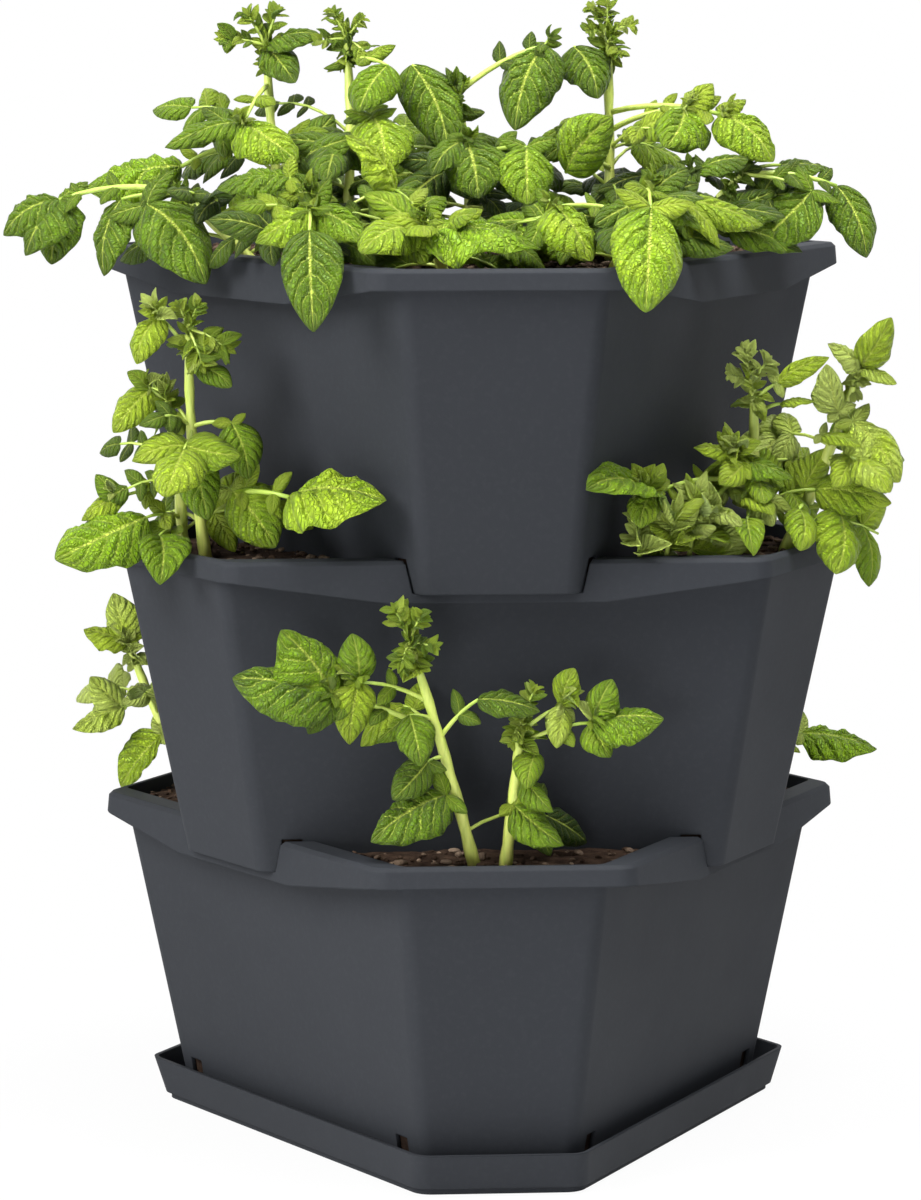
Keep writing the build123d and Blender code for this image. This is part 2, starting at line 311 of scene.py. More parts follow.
def foliage(name, dark, middle, light, pale, vein, under):
    """A leaf surface: pale midrib, curved side veins, quilted between them, with each leaf its own tint."""
    paint = Paint(bpy.data.materials.new(name))
    tint, vein_start, age = paint.tint()
    along, over, _ = paint.parts(paint.coordinates("UV"))
    across = paint.math("ABSOLUTE", paint.math("MULTIPLY_ADD", over, 2.0, -1.0))
    # Side veins leave the midrib aslant and bend towards the tip
    wobble = paint.noise(9.0, 3.0, paint.coordinates("UV"))
    slant = paint.math("MULTIPLY", paint.math("POWER", across, vein_bend), vein_slant)
    run = paint.math("SUBTRACT", along, slant)
    run = paint.math("ADD", run, paint.math("MULTIPLY", wobble, vein_wobble))
    run = paint.math("ADD", run, paint.math("MULTIPLY", vein_start, vein_shift))
    phase = paint.math("FRACT", paint.math("MULTIPLY", run, vein_count))
    off = paint.math("ABSOLUTE", paint.math("SUBTRACT", phase, 0.5))
    side_vein = paint.ease(off, 0.01, 0.08, 1.0, 0.0)
    side_vein = paint.math("MULTIPLY", side_vein, paint.ease(across, 0.55, 0.98, 1.0, 0.15))
    midrib = paint.ease(across, 0.015, 0.075, 1.0, 0.0)
    # Fine net between the veins
    net = paint.nodes.new("ShaderNodeTexVoronoi")
    net.feature = "DISTANCE_TO_EDGE"
    net.inputs["Scale"].default_value = 1.0
    paint.feed(net.inputs["Vector"], paint.stretched("UV", (26.0, 15.0, 1.0)))
    net_vein = paint.ease(net.outputs["Distance"], 0.0, 0.16, 1.0, 0.0)
    # Colour: patchy, and paler on the veins, which show more on some leaves
    patch = paint.noise(55.0, 4.0)
    tone = paint.math("ADD", tint, paint.math("MULTIPLY_ADD", patch, 0.5, -0.25))
    colour = paint.ramp(tone, ((0.0, dark), (0.5, middle), (0.78, light), (1.0, pale)))
    colour = paint.mix(paint.math("MULTIPLY", net_vein, 0.11), colour, vein)
    vein_show = paint.ease(age, 0.0, 1.0, 0.26, 0.50)
    colour = paint.mix(paint.math("MULTIPLY", side_vein, vein_show), colour, vein)
    colour = paint.mix(paint.math("MULTIPLY", midrib, 0.75), colour, vein)
    # Relief: quilted cushions between sunken veins, or raised veins underneath
    quilt = paint.ease(off, 0.0, 0.34, 0.0, 1.0)
    quilt = paint.math("MULTIPLY", quilt, paint.ease(across, 0.0, 0.22, 0.0, 1.0))
    relief = paint.math("ADD", quilt, paint.math("MULTIPLY", net_vein, -0.45))
    relief = paint.math("ADD", relief, paint.math("MULTIPLY", patch, 0.3))
    if under:
        relief = paint.math("MULTIPLY", relief, -1.0)
    paint.dress({
        "Base Color": colour,
        "Normal": paint.bump(relief, 1.0, 0.0034),
        "Roughness": paint.ease(patch, 0.2, 0.8, 0.28, 0.42),
        "Specular IOR Level": 0.10 if under else 0.20,
        "Sheen Weight": 0.06,
        "Sheen Roughness": 0.45,
    })
    # Light that comes through the blade
    through = paint.nodes.new("ShaderNodeBsdfTranslucent")
    paint.feed(through.inputs["Color"], paint.mix(0.5, colour, (0.42, 0.58, 0.03)))
    paint.blend(0.24, paint.nodes["Principled BSDF"], through, "Material Output")
    return paint.owner


def sappy_stem():
    """Pale, streaked, slightly glossy stems, greener upwards."""
    paint = Paint(bpy.data.materials.new("stem"))
    base = paint.mix(paint.tint()[0], (0.70, 0.76, 0.18), (0.36, 0.52, 0.07))
    streak = paint.noise(1.0, 3.0, paint.stretched("Object", (420.0, 420.0, 26.0)))
    paint.dress({
        "Base Color": paint.mix(paint.ease(streak, 0.4, 0.75, 0.0, 0.45), base, (0.28, 0.42, 0.05)),
        "Roughness": 0.42,
        "Subsurface Weight": 0.15,
        "Subsurface Radius": (0.004, 0.005, 0.001),
        "Normal": paint.bump(streak, 0.35, 0.0008),
    })
    return paint.owner


anthracite = plastic()
# The soil block is coloured darker than the loose soil as painted shade, so that it looks shadowed through
# the drain slots
soil_block_painted_shade = compost("soil_block_painted_shade", (0.009, 0.005, 0.0035), (0.058, 0.036, 0.025), chips=False)
soil_loose = compost("soil_loose", (0.011, 0.006, 0.004), (0.10, 0.062, 0.042), chips=True)
leaf_top = foliage(
    "leaf_upper", (0.020, 0.062, 0.005), (0.245, 0.430, 0.011), (0.55, 0.75, 0.040), (0.76, 0.93, 0.20),
    (0.66, 0.77, 0.12), under=False)
leaf_under = foliage(
    "leaf_under", (0.13, 0.24, 0.04), (0.31, 0.49, 0.08), (0.54, 0.73, 0.15), (0.75, 0.92, 0.32),
    (0.66, 0.76, 0.24), under=True)
stem_skin = sappy_stem()


# Plants


class Growth:
    """Vertices, faces, leaf coordinates and tints of one mesh in the making."""

    def __init__(self):
        self.points = []
        self.faces = []
        self.places = []
        self.tints = []

    def add_grid(self, rows, places, tint):
        """A sheet from rows of points."""
        start = len(self.points)
        wide = len(rows[0])
        for row, row_places in zip(rows, places):
            self.points += row
            self.places += row_places
            self.tints += [tint] * wide
        for i in range(len(rows) - 1):
            for j in range(wide - 1):
                corner = start + i * wide + j
                self.faces.append((corner, corner + wide, corner + wide + 1, corner + 1))

    def add_tube(self, path, radii, sides, tints, ridge=0.0):
        """A closed tube along a path, tinted from its start to its end, with a ridged section."""
        start = len(self.points)
        last = len(path) - 1
        heading = (path[1] - path[0]).normalized()
        out = heading.orthogonal().normalized()
        for i, (centre, radius) in enumerate(zip(path, radii)):
            ahead = (path[min(i + 1, last)] - path[max(i - 1, 0)]).normalized()
            out = (out - ahead * out.dot(ahead)).normalized()
            beside = ahead.cross(out)
            for k in range(sides):
                turn = 2 * pi * k / sides
                size = radius * (1 + ridge * cos(turn * sides / 2))
                self.points.append(centre + out * cos(turn) * size + beside * sin(turn) * size)
                self.places.append((i / last, k / sides))
                self.tints.append((tints[0] + (tints[1] - tints[0]) * i / last, 0, 0))
        for i in range(last):
            for k in range(sides):
                near, far = start + i * sides, start + (i + 1) * sides
                self.faces.append((near + k, near + (k + 1) % sides, far + (k + 1) % sides, far + k))
        self.faces.append(tuple(start + k for k in reversed(range(sides))))
        self.faces.append(tuple(start + last * sides + k for k in range(sides)))

    def finish(self, name, materials):
        """The mesh object, with its leaf coordinates and tints."""
        mesh = bpy.data.meshes.new(name)
        mesh.from_pydata([tuple(point) for point in self.points], [], self.faces)
        layer = mesh.uv_layers.new(name="UVMap")
        corners = [0] * len(mesh.loops)
        mesh.loops.foreach_get("vertex_index", corners)
        layer.data.foreach_set("uv", [value for corner in corners for value in self.places[corner]])
        tint = mesh.color_attributes.new("tint", "FLOAT_COLOR", "POINT")
        tint.data.foreach_set("color", [value for item in self.tints for value in (*item, 1.0)])
        mesh.polygons.foreach_set("use_smooth", [True] * len(mesh.polygons))
        for item in materials:
            mesh.materials.append(item)
        made = bpy.data.objects.new(name, mesh)
        bpy.context.scene.collection.objects.link(made)
        return made


def half_width(share):
    """Outline of a leaf: an oval that is fuller near its base and ends in a short point."""
    widest = 0.429
    return max(0.02, share ** 0.48 * (1 - share) ** 0.80 / widest)


def leaflet(base, tip, light, width, chance, droop, steps):
    """Rows of points of one blade, their places along and across it, and where its side veins start."""
    length = (tip - base).length
    along = (tip - base).normalized()
    up = (light - along * light.dot(along)).normalized()
    side = up.cross(along)
    bend = chance.uniform(0.04, 0.13)
    bow = chance.uniform(-0.07, 0.07)
    twist = chance.uniform(-0.6, 0.6)
    uneven = chance.uniform(-0.14, 0.14)
    wave = chance.uniform(0, 2 * pi)
    ripple = chance.uniform(0.03, 0.10)
    crinkle = chance.uniform(0.12, 0.26)
    bulge = chance.uniform(0.08, 0.20)
    vein_start = wave / (2 * pi)
    cushion = cushion_height if steps[0] >= cushion_steps else 0.0
    rows, places = [], []
    for i in range(steps[0] + 1):
        share = 0.5 - 0.5 * cos(pi * i / steps[0])
        arch = 4 * share * (1 - share)
        centre = base + along * length * share + (up * bend + side * bow) * length * arch
        turn = twist * (share - 0.3)
        across = side * cos(turn) + up * sin(turn)
        raise_to = up * cos(turn) - side * sin(turn)
        half = half_width(share) * width * length / 2
        row, row_places = [], []
        for j in range(steps[1] + 1):
            reach = 2 * j / steps[1] - 1
            edge = abs(reach)
            lift = bulge * sin(pi * edge) - droop * edge * edge
            # The edges ripple out of step, and the whole blade is crinkled
            lift += ripple * sin(share * 15 + wave + (2.1 if reach > 0 else 0)) * edge ** 3
            lift += crinkle * noise.noise(Vector((share * 7, reach * 2.6, wave * 9))) * min(1, edge * 2)
            # Cushions between the side veins
            run = share - vein_slant * edge ** vein_bend + vein_wobble / 2 + vein_start * vein_shift
            lift += cushion * cos(2 * pi * vein_count * run) * min(1, edge * 4) * (1 - 0.6 * edge ** 4)
            spread = half * (1 + (uneven if reach > 0 else -uneven))
            row.append(centre + across * spread * reach + raise_to * half * lift)
            row_places.append((share, (reach + 1) / 2))
        rows.append(row)
        places.append(row_places)
    return rows, places, vein_start


def curve(start, middle, end, count):
    """Points along a bow that leans towards a middle point."""
    shares = [i / count for i in range(count + 1)]
    return [start * (1 - s) ** 2 + middle * 2 * s * (1 - s) + end * s * s for s in shares]


def taper(thick, count):
    """Radii of a stalk that thins by a tenth of a millimetre at each step."""
    return [thick - 0.0001 * i for i in range(count)]


class Plant:
    """One plant in the making: its stems, its leaves, and the random draws that shape them.

    tint is how light its leaves are and mixed how much that varies, extra how many leaves it has beyond those
    of its solid, slim how broad its blades are, and frill how many young leaves crowd where blades meet.
    A plant with an open crown ends in full-grown leaves. shoots are places and heights of young shoots.
    """

    def __init__(
            self, name, ground, light, tint, extra,
            mixed=0.2, slim=1.0, frill=8, open_crown=False, shoots=()):
        self.ground = ground
        self.light = Vector(light).normalized()
        self.tint = tint
        self.extra = extra
        self.mixed = mixed
        self.slim = slim
        self.frill = frill
        self.open_crown = open_crown
        self.shoots = shoots
        self.chance = random.Random(name)
        self.stems = Growth()
        self.leaves = Growth()

    def spot(self, point):
        """A point over the plant's ground, from millimetres to metres."""
        return Vector((point[0], point[1], point[2] + self.ground)) * MM

    def draw(self, low, high):
        """A random number in a range."""
        return self.chance.uniform(low, high)

    def add_blade(self, base, tip, face, width, tint, steps, droop=0.42, must_clear=False):
        """Add one blade, flatter where it would touch the tower. One that must be clear is left out there."""
        state = self.chance.getstate()
        for sag in (droop, 0.1, -0.15):
            self.chance.setstate(state)
            rows, places, vein_start = leaflet(base, tip, face, width, self.chance, sag, steps)
            edge = [point for row in rows[1:] for point in row[::2]]
            if clear(edge, 1.0):
                break
        if must_clear and not (clear(edge, 2.0) and in_box(edge)):
            return False
        age = (self.chance.random() + self.chance.random()) / 2
        self.leaves.add_grid(rows, places, (tint, vein_start, age))
        return True

    def grow_stem(self, root, top):
        """The main stem, and the points along it."""
        foot = self.spot((*root, -1))
        crown = self.spot(top)
        length = (crown - foot).length
        sway = Vector((self.draw(-1, 1), self.draw(-0.6, 0.2), 0)) * length * 0.05
        middle = (foot + crown) / 2 + sway + Vector((0, 0, length * 0.03))
        path = curve(foot, middle, crown, stem_steps)
        radii = []
        for i in range(stem_steps + 1):
            radii.append(stem_radius - stem_thinning * i / stem_steps + stem_knots * sin(i * 2.2))
        self.stems.add_tube(path, radii, sides=12, tints=(0.0, 0.5), ridge=0.05)
        return path

    def grow_leaf(self, path, share, stalk_end, tips):
        """One leaf of the solid: its stalk, its blades, and the smaller leaves around them."""
        fork = path[min(stem_steps, round(share * stem_steps))]
        end = self.spot(stalk_end)
        reach = (end - fork).length
        if reach > 0.004:
            bow = curve(fork, (fork + end) / 2 + Vector((0, 0, reach * 0.14)), end, 6)
            thick = 0.0020 if reach > 0.05 else 0.0016
            self.stems.add_tube(bow, taper(thick, 7), sides=8, tints=(0.4, 1.0), ridge=0.04)
        tint = self.tint + self.draw(-self.mixed, self.mixed)
        for tip in tips:
            size = (self.spot(tip) - end).length
            if share > crown_share and size < young_size and not self.open_crown:
                self.grow_young_leaf(end, self.spot(tip), tint + 0.1)
            else:
                self.grow_main_blade(stalk_end, tip, tint)
        # Pairs of small leaflets along longer stalks
        if reach > 0.034:
            for at in (3, 5) if reach > 0.06 else (3,):
                ahead = (bow[at + 1] - bow[at - 1]).normalized()
                beside = ahead.cross(self.light).normalized()
                for hand in (-1, 1):
                    way = (beside * hand + ahead * 0.5 + self.light * 0.15).normalized()
                    size = self.draw(0.010, 0.020)
                    self.add_blade(
                        bow[at], bow[at] + way * size, self.light, self.draw(0.5, 0.66), tint, tiny_grid,
                        must_clear=True)
        # Young leaves crowd where two or three blades meet
        if 2 <= len(tips) <= 3 and share < crown_share:
            heading = ((end - fork).normalized() + Vector((0, 0, 0.8))).normalized()
            size = 0.013 + 0.0006 * self.frill
            self.grow_tuft(end, heading, self.frill, size, below=0.0, tint=tint + 0.2)
        # Some lone blades have a smaller one on each side
        if len(tips) == 1 and self.chance.random() < 0.5:
            ahead = (self.spot(tips[0]) - end).normalized()
            size = (self.spot(tips[0]) - end).length * 0.42
            beside = ahead.cross(self.light).normalized()
            for hand in (-1, 1):
                way = (beside * hand - ahead * 0.2 + self.light * 0.2).normalized()
                tip = end + way * size * self.draw(0.7, 1.0)
                self.add_blade(
                    end, tip, self.light, self.draw(0.55, 0.7), tint + 0.05, small_grid, must_clear=True)

    def grow_main_blade(self, stalk_end, tip_end, tint):
        """A full-grown blade. One that lies level faces up and is tinted darker as painted shade against the
        extra light it catches, and one that hangs is narrow and tinted darker as painted shade.
        """
        base, tip = self.spot(stalk_end), self.spot(tip_end)
        size = (tip - base).length
        width = self.draw(0.72, 0.88) if size > broad_size else self.draw(0.62, 0.78)
        level = 1 - abs((tip - base).normalized().z)
        # Painted shade: level and hanging blades get a darker tint for how the light falls on them
        painted_shade = -0.28 * level
        if tip_end[2] < stalk_end[2] - hanging_drop:
            width = self.draw(0.54, 0.62)
            painted_shade = -0.18
        face = self.light + Vector((0, 0, 1.5 * level * level))
        face += Vector((self.draw(-0.25, 0.25), self.draw(-0.2, 0.2), self.draw(-0.2, 0.2)))
        tint = max(0.22, tint + painted_shade + self.draw(-0.2, 0.2))
        steps = large_grid if size > young_size else middle_grid
        self.add_blade(base, tip, face.normalized(), width * self.slim, tint, steps)

    def grow_young_leaf(self, base, tip, tint):
        """A half-open compound leaf at the end of a shoot: curled leaflets in pairs along a thin stalk."""
        way = tip - base
        middle = base + way * 0.5 + Vector((0, 0, way.length * 0.10))
        path = curve(base, middle, base + way * 0.8, 6)
        self.stems.add_tube(path, taper(0.0012, 7), sides=6, tints=(0.5, 0.9))
        ahead = way.normalized()
        beside = ahead.cross(self.light).normalized()
        for at, part in ((2, 0.30), (3, 0.38), (4, 0.42), (5, 0.36), (6, 0.30)):
            for hand in (-1, 1):
                out = beside * hand * self.draw(0.6, 1.0) + ahead * self.draw(0.3, 0.8)
                out = (out + self.light * self.draw(-0.4, 0.4)).normalized()
                out = out * way.length * part * self.draw(0.8, 1.15)
                face = self.light + Vector((self.draw(-0.7, 0.7), self.draw(-0.5, 0.5), self.draw(-0.3, 0.7)))
                self.add_blade(
                    path[at], path[at] + out, face.normalized(), self.draw(0.46, 0.66),
                    tint + self.draw(-0.25, 0.25), small_grid, droop=self.draw(-1.1, 0.9), must_clear=True)
        self.add_blade(
            path[5], tip, self.light, self.draw(0.5, 0.65), tint + 0.1, small_grid,
            droop=self.draw(-0.8, 0.8), must_clear=True)

    def grow_tuft(self, top, heading, count, size, below, tint):
        """Young, folded leaflets crowded along the end of a shoot: upright at its tip, nodding below.

        below is how far under the top the last of them start.
        """
        shoot = [top + heading * size * 0.4 * i / 3 for i in range(-1, 4)]
        radii = [0.0012, 0.0012, 0.0010, 0.0008, 0.0006]
        self.stems.add_tube(shoot, radii, sides=6, tints=(0.6, 1.0))
        first = heading.orthogonal().normalized()
        second = heading.cross(first)
        for i in range(count):
            part = i / count
            turn = i * leaf_turn + self.draw(-0.7, 0.7)
            open_out = radians(self.draw(8, 40) + 80 * part)
            way = heading * cos(open_out) + (first * cos(turn) + second * sin(turn)) * sin(open_out)
            way = (way + Vector((0, 0, self.draw(-0.9, 0.1) * part))).normalized()
            length = size * self.draw(0.30, 0.55 + 0.35 * part)
            start = top + heading * (size * 0.4 * (1 - part) - below * part)
            face = Vector((self.draw(-0.8, 0.8), self.draw(-1.0, -0.2), self.draw(0.1, 0.9)))
            self.add_blade(
                start, start + way * length, face.normalized(), self.draw(0.42, 0.66),
                tint + self.draw(-0.3, 0.25), small_grid, droop=self.draw(-1.1, 0.9), must_clear=True)

    def grow_crown(self, path):
        """The crowded end of the main stem."""
        heading = (path[-1] - path[-2]).normalized()
        self.grow_tuft(path[-1], heading, count=30, size=0.021, below=0.014, tint=self.tint + 0.12)

    def grow_extra_leaves(self, path):
        """Leaves around the lower stem beyond those of the solid, tinted darker on the whole as painted shade
        among the crowded foliage.
        """
        for i in range(self.extra):
            fork = path[2 + (i * 5) % 6]
            turn = i * leaf_turn + self.draw(-0.4, 0.4)
            reach = self.draw(0.028, 0.066)
            out = Vector((cos(turn), sin(turn) * 0.7 + 0.2, self.draw(-0.15, 0.45))) * reach
            face = (self.light + Vector((cos(turn), sin(turn), 0)) * 0.35).normalized()
            size = self.chance.choice(extra_sizes)
            # The tint leans dark: painted shade for these inner leaves, with some random spread
            self.grow_small_leaf(fork, fork + out, face, size, self.tint + self.draw(-0.5, 0.12))

    def grow_small_leaf(self, fork, end, face, size, tint):
        """A small compound leaf on a bowed stalk: an end leaflet and two pairs, as far as there is room."""
        rise = Vector((0, 0, (end - fork).length * 0.22))
        path = curve(fork, (fork + end) / 2 + rise, end, 5)
        if not clear(path[2:], 3.0) or not in_box(path):
            return
        ahead = (path[-1] - path[-2]).normalized()
        beside = ahead.cross(face).normalized()
        way = (ahead * 0.9 - face * 0.25 + beside * self.draw(-0.25, 0.25)).normalized()
        kept = self.add_blade(
            end, end + way * size, face, self.draw(0.58, 0.74), tint + self.draw(-0.1, 0.1), end_grid,
            must_clear=True)
        for at, part in ((4, 0.8), (3, 0.6)):
            for hand in (-1, 1):
                way = (beside * hand * 0.9 + ahead * 0.45 - face * self.draw(0.0, 0.3)).normalized()
                tip = path[at] + way * size * part * self.draw(0.8, 1.05)
                grown = self.add_blade(
                    path[at], tip, face, self.draw(0.55, 0.7), tint + self.draw(-0.12, 0.12), small_grid,
                    must_clear=True)
                kept = grown or kept
        if kept:
            self.stems.add_tube(path, taper(0.0013, 6), sides=6, tints=(0.4, 0.9))

    def grow_shoots(self):
        """Young shoots that come up beside the stem."""
        for x, y, height in self.shoots:
            low = self.spot((x, y, -1))
            lean = Vector((self.draw(-0.35, 0.25), self.draw(-0.5, 0.0), 1)).normalized()
            high = low + lean * height * MM
            if clear([high], 3.0):
                path = curve(low, (low + high) / 2, high, 4)
                self.stems.add_tube(path, taper(0.0018, 5), sides=8, tints=(0.3, 0.9))
                self.grow_tuft(high, lean, count=20, size=0.042, below=0.020, tint=self.tint)

    def finish(self, name):
        """The pieces of its stems and of its leaves."""
        stem_piece = self.stems.finish(name + "_stems", [stem_skin])
        leaf_piece = self.leaves.finish(name + "_leaves", [leaf_top, leaf_under])
        skin = leaf_piece.modifiers.new("blade", "SOLIDIFY")
        skin.thickness = blade_thickness
        skin.offset = 0
        skin.material_offset = 1
        return stem_piece, leaf_piece


# Each plant: the way its leaves face, its root, its top and its leaves, over the ground it stands on
bottom_plants = {
    "plant_front_left": ((0, -1, 0.6), (-14, -190), (-54, -208, 139), (
        (0.55, (-101, -212, 110), ((-162, -216, 123), (-133, -218, 152), (-117, -224, 90))),
        (0.74, (-86, -211, 119), ((-92, -216, 82), (-90, -214, 149))),
        (0.99, (-55, -209, 143), ((-67, -216, 168), (-47, -218, 164), (-37, -216, 139), (-63, -224, 126))),
        (0.62, (-14, -213, 108), ((23, -218, 101),)),
        (0.66, (-55, -208, 98), ((-49, -222, 69),)),
        (0.50, (-44, -206, 69), ((-66, -218, 48),)),
        (0.28, (-33, -204, 48), ((-79, -216, 22),)),
    )),
    "plant_front_right": ((0, -1, 0.6), (4, -192), (13, -206, 93), (
        (0.99, (14, -207, 96), ((4, -216, 79), (22, -212, 117))),
        (0.86, (55, -212, 93), ((98, -218, 96), (67, -216, 120), (65, -226, 74))),
        (0.92, (37, -211, 103), ((44, -216, 127), (33, -220, 79))),
        (0.55, (22, -205, 74), ((15, -220, 54),)),
        (0.45, (15, -204, 57), ((31, -216, 39),)),
        (0.30, (9, -203, 41), ((38, -214, 18),)),
    )),
    "plant_back_left": ((-0.5, -0.6, 0.7), (-182, 98), (-226, 112, 98), (
        (0.99, (-227, 112, 99), ((-256, 110, 108), (-236, 114, 132), (-212, 122, 112))),
        (0.60, (-230, 106, 56), ((-264, 102, 42), (-252, 110, 76))),
        (0.34, (-204, 98, 38), ((-232, 104, 2),)),
    )),
    "plant_back_right": ((0.5, -0.6, 0.7), (182, 98), (208, 106, 40), (
        (0.98, (228, 100, 34), ((278, 92, 24),)),
        (0.99, (209, 107, 42), ((198, 128, 68), (226, 126, 62))),
    )),
}
middle_plants = {
    "plant_left_tall": ((-0.3, -1, 0.6), (-176, -101), (-186, -112, 142), (
        (0.99, (-186, -113, 146), (
            (-194, -120, 164), (-178, -124, 165), (-157, -124, 131), (-176, -128, 119),
        )),
        (0.94, (-204, -114, 153), ((-218, -124, 125), (-217, -118, 157))),
        (0.82, (-180, -118, 123), ((-160, -128, 111),)),
        (0.56, (-185, -118, 71), ((-175, -140, 30), (-217, -126, 67))),
        (0.62, (-160, -124, 88), ((-150, -136, 55),)),
        (0.28, (-126, -160, 46), ((-69, -202, 48),)),
        (0.30, (-160, -130, 47), ((-134, -150, 14),)),
    )),
    "plant_left_low": ((-0.3, -1, 0.6), (-190, -84), (-200, -96, 100), (
        (0.98, (-210, -97, 107), ((-233, -104, 81), (-224, -98, 118))),
        (0.40, (-229, -108, 41), ((-253, -112, 27), (-244, -106, 55))),
        (0.24, (-213, -114, 29), ((-269, -138, 6),)),
        (0.18, (-205, -128, 19), ((-205, -162, -7),)),
    )),
    "plant_right_tall": ((0.3, -1, 0.6), (165, -98), (164, -116, 107), (
        (0.99, (163, -117, 110), ((156, -124, 137), (175, -124, 128), (145, -128, 118))),
        (0.90, (179, -121, 111), ((210, -128, 127),)),
        (0.80, (181, -121, 98), ((201, -130, 100),)),
        (0.42, (96, -170, 47), ((51, -214, 55), (85, -200, 30))),
        (0.52, (153, -130, 64), ((186, -146, 54), (124, -146, 73))),
        (0.48, (132, -146, 36), ((151, -168, 27), (109, -162, 53))),
        (0.36, (157, -150, 29), ((157, -180, 10),)),
        (0.44, (155, -140, 41), ((172, -160, 33),)),
    )),
    "plant_right_low": ((0.3, -1, 0.6), (186, -96), (231, -112, 117), (
        (0.99, (232, -113, 119), ((250, -120, 151), (210, -122, 135), (253, -124, 110))),
        (0.72, (227, -115, 86), ((255, -128, 49),)),
        (0.78, (217, -119, 92), ((208, -130, 123),)),
        (0.60, (207, -121, 78), ((230, -134, 72),)),
        (0.26, (218, -122, 31), ((213, -146, -6),)),
        (0.24, (192, -132, 33), ((189, -156, 10),)),
    )),
}
top_plants = {
    "plant_top_left_tall": ((-0.2, -0.7, 0.8), (-120, -30), (-134, -10, 135), (
        (0.99, (-135, -10, 138), (
            (-168, -16, 142), (-150, -12, 162), (-126, -14, 164), (-101, -20, 145), (-117, -34, 115),
        )),
        (0.80, (-150, -50, 90), ((-118, -80, 68), (-184, -56, 81))),
        (0.55, (-189, -22, 62), ((-251, -10, 48),)),
    )),
    "plant_top_left_side": ((-0.4, -0.7, 0.7), (-140, -60), (-193, -60, 48), (
        (0.98, (-211, -66, 40), ((-175, -106, -7),)),
        (0.94, (-227, -56, 43), ((-238, -72, -4),)),
        (0.98, (-266, -40, 42), ((-301, -44, 20), (-287, -58, 8), (-271, -50, 2), (-248, -36, 53))),
    )),
    "plant_top_left_front": ((-0.3, -0.7, 0.8), (-104, -130), (-112, -160, 49), (
        (0.98, (-112, -172, 41), ((-146, -182, 22), (-80, -190, 22), (-100, -160, 60))),
        (0.92, (-114, -196, 30), ((-113, -230, -28),)),
        (0.70, (-124, -130, 59), ((-168, -124, 52),)),
    )),
    "plant_top_middle_tall": ((0, -0.7, 0.8), (-88, -44), (-84, -20, 139), (
        (0.99, (-84, -20, 142), ((-107, -26, 139), (-96, -22, 162), (-72, -26, 157), (-67, -36, 128))),
        (0.90, (-60, -60, 126), ((-79, -84, 98),)),
        (0.62, (-70, -70, 94), ((-65, -104, 61),)),
    )),
    "plant_top_middle_bush": ((0, -0.7, 0.8), (-8, -70), (-16, -50, 108), (
        (0.98, (-44, -44, 126), ((-23, -76, 73),)),
        (0.98, (40, -40, 138), ((19, -72, 86), (14, -34, 115))),
        (0.70, (-14, -96, 80), ((-8, -126, 46), (-36, -120, 60))),
        (0.60, (24, -100, 76), ((22, -132, 42),)),
    )),
    "plant_top_middle_front": ((0, -0.7, 0.8), (-30, -150), (-44, -186, 34), (
        (0.98, (-44, -190, 29), ((24, -206, 19), (-70, -206, 18))),
        (0.92, (-60, -150, 52), ((-91, -162, 86),)),
    )),
    "plant_top_right_tall": ((0.2, -0.7, 0.8), (84, -30), (83, -16, 141), (
        (0.99, (82, -16, 145), (
            (68, -20, 164), (82, -18, 168), (102, -22, 152), (66, -26, 148), (90, -32, 130),
        )),
        (0.90, (60, -24, 137), ((73, -48, 105),)),
        (0.42, (49, -96, 61), ((76, -112, 95),)),
        (0.62, (128, -46, 98), ((113, -78, 75), (147, -40, 114))),
        (0.66, (151, -50, 95), ((182, -70, 66), (168, -40, 104))),
    )),
    "plant_top_right_side": ((0.3, -0.7, 0.8), (120, -60), (162, -60, 57), (
        (0.80, (130, -90, 60), ((164, -86, 68), (107, -104, 50))),
        (0.96, (207, -66, 47), ((168, -74, 11),)),
        (0.98, (224, -58, 50), ((240, -80, 6),)),
        (0.98, (189, -50, 63), ((221, -44, 61),)),
    )),
    "plant_top_right_front": ((0.2, -0.7, 0.8), (74, -140), (91, -176, 53), (
        (0.98, (92, -184, 49), ((57, -198, 33), (122, -196, 30), (116, -172, 65))),
        (0.96, (88, -224, 44), ((81, -264, -15),)),
        (0.70, (35, -184, 43), ((54, -210, 12), (23, -178, 54))),
    )),
}

# How the leaves of each plant look. The two plants in the right pocket have lighter tints as painted light,
# making up for the lamp light that the tower keeps from them.
looks = {
    "plant_front_left": {"tint": 0.50, "extra": 2, "frill": 14},
    "plant_front_right": {"tint": 0.54, "extra": 0, "frill": 14},
    "plant_back_left": {"tint": 0.98, "extra": 3, "open_crown": True},
    "plant_back_right": {"tint": 1.08, "extra": 5, "open_crown": True},
    "plant_left_tall": {"tint": 0.66, "extra": 8, "frill": 12},
    "plant_left_low": {"tint": 0.66, "extra": 3},
    "plant_right_tall": {
        "tint": 0.94, "extra": 12, "mixed": 0.38, "slim": 0.78, "frill": 26,
        "shoots": ((90, -164, 16), (104, -158, 24), (120, -150, 30), (138, -142, 20)),
    },
    "plant_right_low": {"tint": 0.90, "extra": 5, "mixed": 0.38, "slim": 0.9, "open_crown": True},
    "plant_top_left_tall": {"tint": 0.54, "extra": 12},
    "plant_top_left_side": {"tint": 0.30, "extra": 9},
    "plant_top_left_front": {"tint": 0.52, "extra": 14},
    "plant_top_middle_tall": {"tint": 0.46, "extra": 13},
    "plant_top_middle_bush": {"tint": 0.32, "extra": 20},
    "plant_top_middle_front": {"tint": 0.66, "extra": 16},
    "plant_top_right_tall": {"tint": 0.62, "extra": 13},
    "plant_top_right_side": {"tint": 0.28, "extra": 20},
    "plant_top_right_front": {"tint": 0.56, "extra": 18},
}

